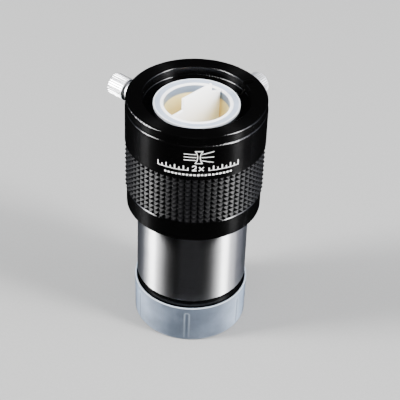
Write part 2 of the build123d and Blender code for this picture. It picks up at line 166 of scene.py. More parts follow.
# ---------------------------------------------------------------- shader helpers
class Shader:
    """A material with a principled surface and short calls to add nodes."""

    def __init__(self, name, **sockets):
        self.material = bpy.data.materials.new(name)
        self.material.use_nodes = True
        self.nodes = self.material.node_tree.nodes
        self.links = self.material.node_tree.links
        self.surface = self.nodes["Principled BSDF"]
        for socket, value in sockets.items():
            self.surface.inputs[socket.replace("_", " ")].default_value = value
        self.place = self.nodes.new("ShaderNodeTexCoord").outputs["Object"]
        self.axes = self.nodes.new("ShaderNodeSeparateXYZ")
        self.links.new(self.place, self.axes.inputs[0])

    def feed(self, socket, value):
        """Links a socket's value, or sets a plain one."""
        if isinstance(value, bpy.types.NodeSocket):
            self.links.new(value, socket)
        elif value is not None:
            socket.default_value = value

    def math(self, operation, *values):
        node = self.nodes.new("ShaderNodeMath")
        node.operation = operation
        for socket, value in zip(node.inputs, values):
            self.feed(socket, value)
        return node.outputs[0]

    def vector(self, x, y, z):
        node = self.nodes.new("ShaderNodeCombineXYZ")
        for socket, value in zip(node.inputs, (x, y, z)):
            self.feed(socket, value)
        return node.outputs[0]

    def noise(self, scale, detail=2.0, vector=None, roughness=0.5):
        node = self.nodes.new("ShaderNodeTexNoise")
        self.feed(node.inputs["Vector"], vector or self.place)
        node.inputs["Scale"].default_value = scale
        node.inputs["Detail"].default_value = detail
        node.inputs["Roughness"].default_value = roughness
        return node.outputs["Fac"]

    def ramp(self, value, *stops):
        """A map from a 0 to 1 value through stops of (position, grey or colour)."""
        node = self.nodes.new("ShaderNodeValToRGB")
        self.feed(node.inputs[0], value)
        ramp = node.color_ramp
        while len(ramp.elements) < len(stops):
            ramp.elements.new(0.5)
        for element, (position, colour) in zip(ramp.elements, stops):
            element.position = position
            if isinstance(colour, (int, float)):
                colour = (colour, colour, colour)
            element.color = (*colour, 1)
        return node.outputs["Color"]

    def span(self, value, start, end, low=0.0, high=1.0):
        """Maps a value from start..end to low..high, clamped, with a smooth step."""
        node = self.nodes.new("ShaderNodeMapRange")
        node.interpolation_type = "SMOOTHSTEP"
        self.feed(node.inputs["Value"], value)
        node.inputs["From Min"].default_value = start
        node.inputs["From Max"].default_value = end
        node.inputs["To Min"].default_value = low
        node.inputs["To Max"].default_value = high
        return node.outputs["Result"]

    def mix(self, factor, first, second):
        node = self.nodes.new("ShaderNodeMix")
        node.data_type = "RGBA"
        self.feed(node.inputs[0], factor)
        for socket, value in ((node.inputs[6], first), (node.inputs[7], second)):
            if isinstance(value, tuple):
                value = (*value, 1)
            self.feed(socket, value)
        return node.outputs[2]

    def multiply(self, first, second):
        node = self.nodes.new("ShaderNodeMix")
        node.data_type = "RGBA"
        node.blend_type = "MULTIPLY"
        node.inputs[0].default_value = 1.0
        self.feed(node.inputs[6], first)
        self.feed(node.inputs[7], second)
        return node.outputs[2]

    def from_line(self, point, direction):
        """Distance from a line through a point."""
        offset = self.nodes.new("ShaderNodeVectorMath")
        offset.operation = "SUBTRACT"
        self.feed(offset.inputs[0], self.place)
        offset.inputs[1].default_value = point
        turned = self.nodes.new("ShaderNodeVectorMath")
        turned.operation = "CROSS_PRODUCT"
        self.feed(turned.inputs[0], offset.outputs["Vector"])
        turned.inputs[1].default_value = direction
        length = self.nodes.new("ShaderNodeVectorMath")
        length.operation = "LENGTH"
        self.feed(length.inputs[0], turned.outputs["Vector"])
        return length.outputs["Value"]

    def bump(self, height, strength, depth):
        node = self.nodes.new("ShaderNodeBump")
        self.feed(node.inputs["Height"], height)
        node.inputs["Strength"].default_value = strength
        node.inputs["Distance"].default_value = depth
        self.links.new(node.outputs[0], self.surface.inputs["Normal"])

    def hypotenuse(self, first, second):
        return self.math("SQRT", self.math("ADD", self.math("MULTIPLY", first, first),
                                           self.math("MULTIPLY", second, second)))

    def radius(self):
        """Distance from the optical axis."""
        return self.hypotenuse(self.axes.outputs[0], self.axes.outputs[1])

    def turned(self, amount):
        """Brushed highlights of a surface turned on a lathe: they spread along the axis."""
        self.surface.inputs["Anisotropic"].default_value = amount
        self.surface.inputs["Anisotropic Rotation"].default_value = 0.25
        tangent = self.nodes.new("ShaderNodeTangent")
        tangent.direction_type = "RADIAL"
        tangent.axis = "Z"
        self.links.new(tangent.outputs[0], self.surface.inputs["Tangent"])

    def tool_marks(self, fineness):
        """Fine rings round the axis, a little uneven, from 0 to 1."""
        rings = self.vector(
            self.math("MULTIPLY", self.radius(), fineness),
            self.math("MULTIPLY", self.axes.outputs[2], fineness),
            self.math("MULTIPLY", self.axes.outputs[0], 12.0),
        )
        return self.noise(1.0, 3.0, rings, 0.6)


def floor_material():
    made = Shader("floor_paper", Roughness=0.85, Specular_IOR_Level=0.2)
    grain = made.noise(900.0, 3.0)
    made.links.new(made.ramp(grain, (0.3, (0.235, 0.235, 0.232)), (0.7, (0.25, 0.25, 0.247))),
                   made.surface.inputs["Base Color"])
    made.bump(grain, 0.08, 0.0004)
    return made.material


# ---------------------------------------------------------------- materials of the object
CLAMP_POINT = (0.019763, 0.008717, 0.1156)          # on the clamp screw's axis
CLAMP_DIRECTION = (0.646974, 0.28535, 0.707107)
CLAMP_HOLE = 1.75                                   # radius within which the finish is rougher and painted with shade, in millimetres
CLAMP_HOLE_EDGE = 1.9                               # radius where the roughness and painted shade have faded


def anodised(name, roughness, marks=5200.0):
    """Black anodised aluminium with fine turning marks and faint dust. The clamp screw's hole is rougher and
    painted with shade.

    The black specular tint lets its reflection fall away at grazing angles, so flat tops don't turn white.
    """
    made = Shader(name, Metallic=0.98, Specular_IOR_Level=0.0)
    made.surface.inputs["Specular Tint"].default_value = (0.0, 0.0, 0.0, 1)
    made.turned(1.0)
    rings = made.tool_marks(marks)
    clouds = made.noise(55.0, 4.0)
    rough = made.math("MULTIPLY_ADD", made.math("ADD", rings, clouds), 0.07, roughness - 0.07)
    # The clamp screw's hole is rougher, and its colour is darkened to near black as painted shade.
    shaded_dull_hole = made.span(made.from_line(CLAMP_POINT, CLAMP_DIRECTION),
                       CLAMP_HOLE * MM, CLAMP_HOLE_EDGE * MM, 1.0, 0.0)
    rough = made.math("MULTIPLY_ADD", shaded_dull_hole, 0.5, rough)
    made.links.new(rough, made.surface.inputs["Roughness"])
    dust = made.ramp(made.noise(1500.0, 2.0), (0.74, 0.0), (0.80, 1.0))
    tone = made.ramp(clouds, (0.3, (0.036, 0.036, 0.037)), (0.75, (0.043, 0.043, 0.044)))
    dusty = made.mix(made.math("MULTIPLY", dust, 0.2), tone, (0.10, 0.10, 0.10))
    # Painted shade: near black in the clamp screw's hole.
    made.links.new(made.mix(shaded_dull_hole, dusty, (0.004, 0.004, 0.004)), made.surface.inputs["Base Color"])
    made.bump(rings, 0.12, 0.00002)
    return made.material


def rubber():
    """Matt moulded rubber, a little paler on the worn tips of its pyramids."""
    made = Shader("grip_rubber", Specular_IOR_Level=0.18)
    tip_start = (radius_mm("rubber_grip") - 0.42) * MM
    tip_end = (radius_mm("rubber_grip") - 0.02) * MM
    wear = made.span(made.radius(), tip_start, tip_end)
    patches = made.noise(240.0, 3.0)
    wear = made.math("MULTIPLY", wear, made.ramp(patches, (0.35, 0.35), (0.7, 1.0)))
    made.links.new(made.mix(wear, (0.0022, 0.0022, 0.0026), (0.009, 0.009, 0.010)),
                   made.surface.inputs["Base Color"])
    rough = made.math("MULTIPLY_ADD", patches, 0.14, 0.31)
    made.links.new(rough, made.surface.inputs["Roughness"])
    made.bump(made.noise(3800.0, 3.0), 0.25, 0.00005)
    return made.material


def chrome_barrel():
    """Bright plate over a fine-turned tube: highlights run as soft upright bands."""
    made = Shader("barrel_chrome", Metallic=1.0)
    made.turned(1.0)
    rings = made.tool_marks(7000.0)
    smears = made.noise(38.0, 4.0)
    rough = made.math("ADD", made.math("MULTIPLY_ADD", rings, 0.05, 0.24),
                      made.math("MULTIPLY", smears, 0.05))
    made.links.new(rough, made.surface.inputs["Roughness"])
    tone = made.ramp(rings, (0.3, (0.84, 0.845, 0.87)), (0.7, (0.92, 0.925, 0.945)))
    specks = made.ramp(made.noise(1300.0, 2.0), (0.76, 0.0), (0.80, 1.0))
    made.links.new(made.mix(made.math("MULTIPLY", specks, 0.5), tone, (0.9, 0.9, 0.9)),
                   made.surface.inputs["Base Color"])
    made.bump(rings, 0.08, 0.00001)
    return made.material


def chrome_screw(side):
    """Nickel-chrome plate of a knurled screw.

    Painted shade darkens the knurl's valleys and the head's rear face, and it is duller on the boss.
    """
    made = Shader(f"screw_chrome_{side}", Metallic=1.0)
    turn = math.radians(THUMB_ANGLES[side])
    x, y, height = made.axes.outputs
    across = made.math("SUBTRACT", made.math("MULTIPLY", y, math.cos(turn)),
                       made.math("MULTIPLY", x, math.sin(turn)))
    above = made.math("SUBTRACT", height, THUMB_HEIGHT * MM)
    reach = made.hypotenuse(across, above)
    crest = made.span(reach, (THUMB_HEAD - THUMB_TOOTH) * MM, (THUMB_HEAD - 0.15 * THUMB_TOOTH) * MM)
    on_head = made.span(reach, THUMB_KNURL_FLOOR * MM, (THUMB_KNURL_FLOOR + 0.15) * MM)
    # Painted shade: a mask of the knurl's valleys.
    valley = made.math("MULTIPLY", on_head, made.math("SUBTRACT", 1.0, crest))
    along = made.math("ADD", made.math("MULTIPLY", x, math.cos(turn)),
                      made.math("MULTIPLY", y, math.sin(turn)))
    back = THUMB_SHOULDER + THUMB_HEAD_BACK + THUMB_BACKED_OUT[side]
    # Painted shade: a mask of the head's rear face, which faces the receiver and is in shadow.
    rear_face_shade = made.math("MULTIPLY", made.span(along, (back + 0.1) * MM, (back + 0.3) * MM, 1.0, 0.0),
                       made.span(reach, (THUMB_BOSS + 0.2) * MM, (THUMB_BOSS + 0.35) * MM))
    boss = made.math("MULTIPLY", made.span(reach, (THUMB_NECK + 0.1) * MM, (THUMB_NECK + 0.3) * MM),
                     made.span(reach, (THUMB_BOSS + 0.1) * MM, (THUMB_BOSS + 0.2) * MM, 1.0, 0.0))
    clouds = made.noise(420.0, 3.0)
    rough = made.math("MULTIPLY_ADD", clouds, 0.16, 0.29)
    made.links.new(made.math("MULTIPLY_ADD", boss, 0.2, rough), made.surface.inputs["Roughness"])
    plate = made.ramp(clouds, (0.3, (0.88, 0.885, 0.90)), (0.7, (0.96, 0.96, 0.965)))
    # Painted shade: the head's rear face and the knurl's valleys are darkened in the colour.
    plate = made.mix(made.math("MULTIPLY", rear_face_shade, 0.7), plate, (0.10, 0.10, 0.105))
    made.links.new(made.mix(made.math("MULTIPLY", valley, 0.92), plate, (0.06, 0.06, 0.065)),
                   made.surface.inputs["Base Color"])
    made.bump(made.noise(5000.0, 2.0), 0.06, 0.00002)
    return made.material


def brass():
    made = Shader("ring_brass", Metallic=1.0)
    made.turned(0.5)
    rings = made.tool_marks(3500.0)
    made.links.new(made.math("MULTIPLY_ADD", rings, 0.15, 0.25), made.surface.inputs["Roughness"])
    patina = made.noise(150.0, 4.0)
    made.links.new(made.ramp(patina, (0.3, (0.62, 0.43, 0.17)), (0.7, (0.80, 0.60, 0.28))),
                   made.surface.inputs["Base Color"])
    made.bump(rings, 0.1, 0.00002)
    return made.material


def dark_steel():
    made = Shader("screw_steel", Metallic=1.0)
    clouds = made.noise(900.0, 3.0)
    made.links.new(made.math("MULTIPLY_ADD", clouds, 0.2, 0.35), made.surface.inputs["Roughness"])
    made.links.new(made.ramp(clouds, (0.3, (0.014, 0.014, 0.015)), (0.7, (0.035, 0.035, 0.037))),
                   made.surface.inputs["Base Color"])
    made.bump(clouds, 0.1, 0.00003)
    return made.material


def nylon():
    made = Shader("pad_nylon", Subsurface_Weight=0.6, Subsurface_Scale=0.001)
    clouds = made.noise(700.0, 3.0)
    made.links.new(made.math("MULTIPLY_ADD", clouds, 0.2, 0.35), made.surface.inputs["Roughness"])
    made.links.new(made.ramp(clouds, (0.3, (0.74, 0.73, 0.68)), (0.7, (0.82, 0.81, 0.76))),
                   made.surface.inputs["Base Color"])
    made.bump(clouds, 0.1, 0.00003)
    return made.material


def fibre():
    made = Shader("washer_fibre")
    fibres = made.noise(2500.0, 4.0)
    made.links.new(made.math("MULTIPLY_ADD", fibres, 0.2, 0.6), made.surface.inputs["Roughness"])
    made.links.new(made.ramp(fibres, (0.3, (0.010, 0.010, 0.010)), (0.7, (0.030, 0.029, 0.028))),
                   made.surface.inputs["Base Color"])
    made.bump(fibres, 0.3, 0.00004)
    return made.material


def coated_glass():
    """Clear glass with a faint green bloom from its coating."""
    made = Shader("lens_glass", Roughness=0.0, IOR=1.52, Transmission_Weight=1.0,
                  Coat_Weight=0.35, Coat_Roughness=0.02)
    made.surface.inputs["Coat Tint"].default_value = (0.45, 1.0, 0.62, 1)
    haze = made.noise(90.0, 4.0)
    made.links.new(made.ramp(haze, (0.3, (0.93, 0.985, 0.95)), (0.7, (0.97, 1.0, 0.98))),
                   made.surface.inputs["Base Color"])
    made.links.new(made.span(haze, 0.55, 0.85, 0.0, 0.05), made.surface.inputs["Roughness"])
    return made.material


def plug_plastic():
    """Soft white polyethylene.

    Its flange is painted grey as shade, standing in for the black seat seen through it, and is a little
    lighter at the outer lip. The cup's inner wall is painted with blue-grey shade. Below a set height, its
    wall and floor are painted with brass-coloured light, standing in for the brass ring seen through the
    wall.
    """
    made = Shader("plug_plastic", Subsurface_Weight=0.6, Subsurface_Scale=0.0008, Specular_IOR_Level=0.5)
    made.surface.inputs["Subsurface Radius"].default_value = (0.9, 0.95, 1.0)
    clouds = made.noise(120.0, 3.0)
    radius, height = made.radius(), made.axes.outputs[2]
    white = made.ramp(clouds, (0.3, (0.96, 0.965, 0.975)), (0.7, (0.985, 0.99, 0.995)))
    # Painted shade: blue-grey for the flange, standing in for the black seat seen through it.
    grey = made.ramp(clouds, (0.3, (0.32, 0.38, 0.485)), (0.7, (0.40, 0.46, 0.57)))
    # Painted light: brass-coloured, standing in for the brass ring seen through the cup's wall.
    brass_light_paint = made.ramp(clouds, (0.3, (0.90, 0.74, 0.33)), (0.7, (0.95, 0.81, 0.42)))
    # Painted shade: blue-grey for the cup's inner wall.
    cup_shade_paint = made.ramp(clouds, (0.3, (0.15, 0.20, 0.29)), (0.7, (0.20, 0.26, 0.36)))
    on_wall = made.span(radius, (PLUG_BORE - 0.6) * MM, (PLUG_BORE - 0.35) * MM)
    on_floor = made.span(height, (PLUG_FLOOR + 0.2) * MM, (PLUG_FLOOR + 0.6) * MM, 1.0, 0.0)
    in_cup = made.span(radius, (PLUG_BORE + 0.2) * MM, (PLUG_BORE + 0.5) * MM, 1.0, 0.0)
    below_mouth = made.span(height, (PLUG_LIP - 0.8) * MM, (PLUG_LIP - 0.3) * MM, 1.0, 0.0)
    behind_ring = made.span(height, PLUG_TINT_TOP * MM, (PLUG_TINT_TOP + 0.9) * MM, 1.0, 0.0)
    # Masks of the painted shade on the cup's wall, and of the painted brass-coloured light low in the cup.
    wall = made.math("MULTIPLY", made.math("MULTIPLY", on_wall, in_cup), below_mouth)
    cup = made.math("MAXIMUM", on_wall, on_floor)
    tint = made.math("MULTIPLY", made.math("MULTIPLY", behind_ring, cup), in_cup)
    # The flange's painted shade, eased at the outer lip.
    flange_start = made.span(radius, (PLUG_BORE + 1.25) * MM, (PLUG_BORE + 1.7) * MM)
    rim = radius_mm("reducer_plug")
    flange_end = made.span(radius, (rim - 0.75) * MM, (rim - 0.55) * MM, 1.0, 0.45)
    flange = made.math("MULTIPLY", flange_start, flange_end)
    colour = made.mix(wall, white, cup_shade_paint)
    colour = made.mix(tint, colour, brass_light_paint)
    made.links.new(made.mix(flange, colour, grey), made.surface.inputs["Base Color"])
    made.links.new(made.math("MULTIPLY_ADD", clouds, 0.14, 0.26), made.surface.inputs["Roughness"])
    made.bump(made.noise(900.0, 3.0), 0.05, 0.00008)
    return made.material


def cap_plastic():
    """Frosted pale blue-grey polyethylene, painted with light and shade: its colour changes with the viewing
    angle, the crush ribs inside are painted on the wall as pale outlines with dark middles, and the rim has
    a painted highlight.
    """
    made = Shader("cap_plastic", Subsurface_Weight=0.3, Subsurface_Scale=0.0008, Specular_IOR_Level=0.9)
    made.surface.inputs["Subsurface Radius"].default_value = (0.8, 0.95, 1.1)
    x, y, height = made.axes.outputs
    clouds = made.noise(70.0, 5.0, roughness=0.62)
    turn = made.math("ARCTAN2", y, x)
    first = math.radians(CAP_RIB_FIRST)
    spacing = math.radians(CAP_RIB_SPACING)
    offset = made.math("SUBTRACT", turn, first - spacing / 2 - 4 * math.pi)
    cell = made.math("FRACT", made.math("DIVIDE", offset, spacing))
    across = made.math("MULTIPLY", made.math("ABSOLUTE", made.math("SUBTRACT", cell, 0.5)),
                       spacing * CAP_BORE * MM)
    rib_top = (CAP_RIB_HIGH - CAP_RIB_WIDTH / 2) * MM
    above = made.math("MAXIMUM", made.math("SUBTRACT", height, rib_top), 0.0)
    reach = made.hypotenuse(across, above)
    half = CAP_RIB_WIDTH / 2 * MM
    # Painted light: pale outlines of the crush ribs seen through the wall, fainter lower down.
    edge = made.math("MULTIPLY", made.span(reach, half * 0.35, half * 0.85),
                     made.span(reach, half * 0.95, half * 1.3, 1.0, 0.0))
    # Painted shade along the middle of each rib.
    core = made.span(reach, half * 0.15, half * 0.55, 1.0, 0.0)
    above_floor = made.span(height, 0.8 * MM, 2.6 * MM)
    edge = made.math("MULTIPLY", edge, made.span(height, 3.0 * MM, 15.0 * MM, 0.45, 1.0))
    # Painted light and shade by viewing angle: darker face-on and at the very edge, lighter between.
    facing = made.nodes.new("ShaderNodeLayerWeight")
    facing.inputs["Blend"].default_value = 0.5
    depth = made.ramp(facing.outputs["Facing"],
                      (0.18, (0.042, 0.055, 0.078)), (0.38, (0.080, 0.101, 0.136)),
                      (0.60, (0.16, 0.195, 0.25)), (0.78, (0.12, 0.155, 0.21)),
                      (0.95, (0.030, 0.042, 0.066)))
    cloudy = made.ramp(clouds, (0.28, 0.66), (0.5, 1.0), (0.74, 1.45))
    body = made.multiply(depth, cloudy)
    pale = made.math("MULTIPLY", made.math("MULTIPLY", edge, above_floor), 0.28)
    with_rib_light = made.mix(pale, body, (0.36, 0.42, 0.48))
    dark = made.math("MULTIPLY", made.math("MULTIPLY", core, above_floor), 0.60)
    with_rib_shade = made.mix(dark, with_rib_light, (0.030, 0.042, 0.062))
    top = high_mm("barrel_cap")
    # Painted highlight along the rim.
    rim = made.span(height, (top - 0.4) * MM, (top - 0.1) * MM)
    made.links.new(made.mix(rim, with_rib_shade, (0.29, 0.335, 0.39)), made.surface.inputs["Base Color"])
    made.links.new(made.math("MULTIPLY_ADD", clouds, 0.22, 0.36), made.surface.inputs["Roughness"])
    made.bump(made.noise(700.0, 3.0), 0.06, 0.00010)
    return made.material


def print_ink():
    made = Shader("marking_ink", Specular_IOR_Level=0.3)
    patches = made.noise(1800.0, 3.0)
    made.links.new(made.ramp(patches, (0.35, (0.62, 0.62, 0.61)), (0.6, (0.80, 0.80, 0.79))),
                   made.surface.inputs["Base Color"])
    made.links.new(made.math("MULTIPLY_ADD", patches, 0.2, 0.5), made.surface.inputs["Roughness"])
    made.bump(patches, 0.1, 0.00002)
    return made.material


# ---------------------------------------------------------------- mesh helpers
def add_piece(name, mesh, material, body, slot, *nodes, sharp=35):
    """Links a mesh as a piece that rides on a body and stands for CAD nodes."""
    for polygon in mesh.polygons:
        polygon.use_smooth = True
    mesh.set_sharp_from_angle(angle=math.radians(sharp))
    piece = bpy.data.objects.new(name, mesh)
    bpy.context.scene.collection.objects.link(piece)
    mesh.materials.clear()
    mesh.materials.append(material)
    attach(piece, body)
    if nodes:
        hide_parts(*nodes)
    return piece


def rounded(corners, default=0.12, steps=4):
    """An outline whose corners are small arcs.

    A corner is (radius, height) or (radius, height, rounding). Two more points beside each arc, on its
    straight edges, keep the shading of those edges flat. A rounding is cut down where a neighbouring edge
    is too short.
    """
    made = []
    count = len(corners)
    for index, corner in enumerate(corners):
        here = Vector(corner[:2])
        before = Vector(corners[index - 1][:2]) - here
        after = Vector(corners[(index + 1) % count][:2]) - here
        size = corner[2] if len(corner) > 2 else default
        half_turn = before.angle(after) / 2
        straight_on = abs(half_turn - math.pi / 2) < 0.02
        if size <= 0 or straight_on:
            made.append(here)
            continue
        cut = min(size / math.tan(half_turn), 0.45 * before.length, 0.45 * after.length)
        size = cut * math.tan(half_turn)
        inwards = (before.normalized() + after.normalized()).normalized()
        centre = here + inwards * (size / math.sin(half_turn))
        start = here + before.normalized() * cut - centre
        end = here + after.normalized() * cut - centre
        sweep = start.angle_signed(end)
        support = 0.35 * cut
        made.append(centre + start + before.normalized() * support)
        for step in range(steps + 1):
            made.append(centre + Matrix.Rotation(-sweep * step / steps, 2) @ start)
        made.append(centre + end + after.normalized() * support)
    return made


AXIS_GAP = 0.001           # an outline stops this far from the axis


def turned_vertex(made, radius, height, turn):
    """A vertex of a mesh being made, from its radius and height in millimetres and its angle about Z."""
    return made.verts.new((radius * MM * math.cos(turn), radius * MM * math.sin(turn), height * MM))


def lathe(outline, segments=256, shape=None):
    """Turns a closed outline of (radius, height) in millimetres about Z.

    shape(radius, height, turn) can move each point.
    """
    made = bmesh.new()
    rings = []
    for point in outline:
        ring = []
        for step in range(segments):
            turn = 2 * math.pi * step / segments
            radius, height = point
            if shape:
                radius, height = shape(radius, height, turn)
            ring.append(turned_vertex(made, radius, height, turn))
        rings.append(ring)
    for index, ring in enumerate(rings):
        following = rings[(index + 1) % len(rings)]
        for step in range(segments):
            other = (step + 1) % segments
            made.faces.new((ring[step], ring[other], following[other], following[step]))
    bmesh.ops.remove_doubles(made, verts=made.verts, dist=1e-7)
    bmesh.ops.recalc_face_normals(made, faces=made.faces)
    mesh = bpy.data.meshes.new("turned")
    made.to_mesh(mesh)
    made.free()
    return mesh


# ---------------------------------------------------------------- rubber grip
GRIP_COLUMNS = 66
GRIP_ROWS = 10
GRIP_DEPTH = 1.10          # from a tip down to the valleys
GRIP_TIP = 0.10            # a tip's flat, as a share of the cell
GRIP_SEAT = 29.02          # radius of the sleeve's bore
GRIP_BEVEL = 0.05


def grip_mesh():
    """A sleeve of square pyramids in straight rows, with its valleys shared by neighbours."""
    low, high = low_mm("rubber_grip"), high_mm("rubber_grip")
    tip_radius = radius_mm("rubber_grip")
    valley = tip_radius - GRIP_DEPTH
    made = bmesh.new()

    def vertex(column, height, radius):
        return turned_vertex(made, radius, height, 2 * math.pi * column / GRIP_COLUMNS)

    row_height = (high - low) / GRIP_ROWS
    grid = [[vertex(column, low + row * row_height, valley) for column in range(GRIP_COLUMNS)]
            for row in range(GRIP_ROWS + 1)]
    for row in range(GRIP_ROWS):
        for column in range(GRIP_COLUMNS):
            after = (column + 1) % GRIP_COLUMNS
            base = [grid[row][column], grid[row][after], grid[row + 1][after], grid[row + 1][column]]
            tips = []
            for side, level in ((-1, -1), (1, -1), (1, 1), (-1, 1)):
                across = column + 0.5 + side * GRIP_TIP / 2
                height = low + (row + 0.5 + level * GRIP_TIP / 2) * row_height
                tips.append(vertex(across, height, tip_radius))
            for corner in range(4):
                following = (corner + 1) % 4
                made.faces.new((base[corner], base[following], tips[following], tips[corner]))
            made.faces.new(tips)
    inner = [[vertex(column, height, GRIP_SEAT) for column in range(GRIP_COLUMNS)]
             for height in (low, high)]
    for column in range(GRIP_COLUMNS):
        after = (column + 1) % GRIP_COLUMNS
        made.faces.new((inner[0][column], inner[0][after], grid[0][after], grid[0][column]))
        made.faces.new((grid[-1][column], grid[-1][after], inner[1][after], inner[1][column]))
        made.faces.new((inner[1][column], inner[1][after], inner[0][after], inner[0][column]))
    bmesh.ops.recalc_face_normals(made, faces=made.faces)
    slopes = [edge for edge in made.edges if edge.calc_face_angle(0) > 0.3]
    bmesh.ops.bevel(made, geom=slopes, offset=GRIP_BEVEL * MM, segments=1, affect="EDGES")
    mesh = bpy.data.meshes.new("grip_pyramids")
    made.to_mesh(mesh)
    made.free()
    return mesh


# ---------------------------------------------------------------- thumbscrews
# Distances along a screw are from the optical axis, with the screw fully in.
THUMB_TEETH = 30
THUMB_TOOTH = 0.30                     # depth of the knurl's grooves
THUMB_TOOTH_RUN_OUT = 0.25             # length over which a groove ends
THUMB_HEIGHT = 105.5
THUMB_ANGLES = {"left": 135, "right": 45}
THUMB_BACKED_OUT = {"left": 2.6, "right": 0.0}
THUMB_TIP, THUMB_SHOULDER, THUMB_END = 27.1, 32.0, 46.0
THUMB_BOSS_BACK, THUMB_HEAD_BACK = 4.6, 5.1          # from the shoulder outwards
# Radii of its stretches, from the tip outwards.
THUMB_POINT, THUMB_THREAD, THUMB_BOSS, THUMB_NECK, THUMB_HEAD = 1.7, 2.0, 4.0, 3.4, 5.15
THUMB_KNURL_FLOOR = 4.6                # radius above which a point is on the knurl
THUMB_END_DISH, THUMB_END_DISH_DEPTH = 3.2, 0.15     # the shallow dish in the end face
THUMB_LONG_EDGE = 2.0                  # longer than any of the head's edges but the knurled one
THUMB_THREAD_PITCH = 0.7
THUMB_THREAD_DEPTH = 0.35


def thumbscrew_mesh(angle, out):
    """A screw turned about its own axis, then laid along its radial line.

    Along the outline, height runs outwards.
    """
    start, shoulder, end = THUMB_TIP + out, THUMB_SHOULDER + out, THUMB_END + out
    boss_back, head_back = shoulder + THUMB_BOSS_BACK, shoulder + THUMB_HEAD_BACK
    dish = end - THUMB_END_DISH_DEPTH
    corners = [(AXIS_GAP, start), (THUMB_POINT, start, 0.0)]
    # The thread's stretch has close points, which the helix moves.
    corners += [(THUMB_THREAD, start + 0.3 + 0.1 * step, 0.0) for step in range(46)]
    corners += [
        (THUMB_THREAD, shoulder, 0.0), (THUMB_BOSS, shoulder, 0.25), (THUMB_BOSS, boss_back, 0.2),
        (THUMB_NECK, boss_back, 0.1), (THUMB_NECK, head_back, 0.1), (THUMB_HEAD, head_back, 0.35),
        (THUMB_HEAD, end, 0.85), (THUMB_END_DISH, end, 0.2), (THUMB_END_DISH - 0.2, dish, 0.15),
        (AXIS_GAP, dish, 0.0),
    ]
    outline = rounded(corners, steps=5)
    teeth_low, teeth_high = head_back + 0.25, end - 0.5

    def shape(radius, height, turn):
        if radius > THUMB_KNURL_FLOOR:
            inside = (min(max((height - teeth_low) / THUMB_TOOTH_RUN_OUT, 0), 1)
                      * min(max((teeth_high - height) / THUMB_TOOTH_RUN_OUT, 0), 1))
            phase = (turn * THUMB_TEETH / (2 * math.pi)) % 1.0
            radius -= THUMB_TOOTH * inside * max(2 * abs(2 * phase - 1) - 1, 0)
        elif (THUMB_THREAD - 0.1 < radius < THUMB_THREAD + 0.05
              and start + 0.35 < height < shoulder - 0.05):
            phase = (height / THUMB_THREAD_PITCH - turn / (2 * math.pi)) % 1.0
            radius -= THUMB_THREAD_DEPTH * (1 - abs(2 * phase - 1))
        return radius, height

    # The head's long edge gets points where the grooves start and end.
    groove_ends = (teeth_low, teeth_low + THUMB_TOOTH_RUN_OUT, teeth_high - THUMB_TOOTH_RUN_OUT, teeth_high)
    dense = []
    for index, point in enumerate(outline):
        dense.append(point)
        following = outline[(index + 1) % len(outline)]
        on_head = min(point[0], following[0]) > THUMB_KNURL_FLOOR
        if on_head and following[1] - point[1] > THUMB_LONG_EDGE:
            dense += [Vector((point[0], height)) for height in groove_ends
                      if point[1] < height < following[1]]
    mesh = lathe(dense, segments=THUMB_TEETH * 8, shape=shape)
    outwards = Matrix.Rotation(math.radians(angle), 4, "Z") @ Matrix.Rotation(math.pi / 2, 4, "Y")
    mesh.transform(Matrix.Translation((0, 0, THUMB_HEIGHT * MM)) @ outwards)
    return mesh


# ---------------------------------------------------------------- reducer plug
PLUG_BORE = 14.5           # radius of the cup inside
PLUG_WALL = 15.85          # radius of the cup outside
PLUG_FLOOR = 100.8
PLUG_SEAT = 115.62         # underside of the flange
PLUG_LIP = 116.8           # top of the flange
PLUG_TAPER_TOP = 114.6     # below this the cup's outside narrows
PLUG_TINT_TOP = 112.2      # top of the painted brass-coloured light in the cup
PLUG_WEB_ANGLE = 40.3
PLUG_WEB_HALF = 0.6        # half of its thickness
PLUG_WEB_STEP = 8.8        # half of its raised part


def union(first, second):
    """One closed mesh from two that overlap."""
    objects = []
    for name, mesh in (("union_first", first), ("union_second", second)):
        item = bpy.data.objects.new(name, mesh)
        bpy.context.scene.collection.objects.link(item)
        objects.append(item)
    modifier = objects[0].modifiers.new("join", "BOOLEAN")
    modifier.operation = "UNION"
    modifier.solver = "EXACT"
    modifier.object = objects[1]
    evaluated = objects[0].evaluated_get(bpy.context.evaluated_depsgraph_get())
    mesh = bpy.data.meshes.new_from_object(evaluated)
    for item in objects:
        bpy.data.objects.remove(item)
    return mesh


def plate_mesh(corners, half_thickness, rounding):
    """A flat plate from corners (distance from Z, height), with softened edges, in the plane of X and Z."""
    made = bmesh.new()
    faces = []
    for side in (-half_thickness, half_thickness):
        faces.append([made.verts.new((x * MM, side * MM, z * MM)) for x, z in corners])
    made.faces.new(faces[0])
    made.faces.new(reversed(faces[1]))
    for index in range(len(corners)):
        after = (index + 1) % len(corners)
        made.faces.new((faces[0][index], faces[1][index], faces[1][after], faces[0][after]))
    bmesh.ops.recalc_face_normals(made, faces=made.faces)
    bmesh.ops.bevel(made, geom=list(made.edges), offset=rounding * MM, segments=3, affect="EDGES")
    mesh = bpy.data.meshes.new("plate")
    made.to_mesh(mesh)
    made.free()
    return mesh


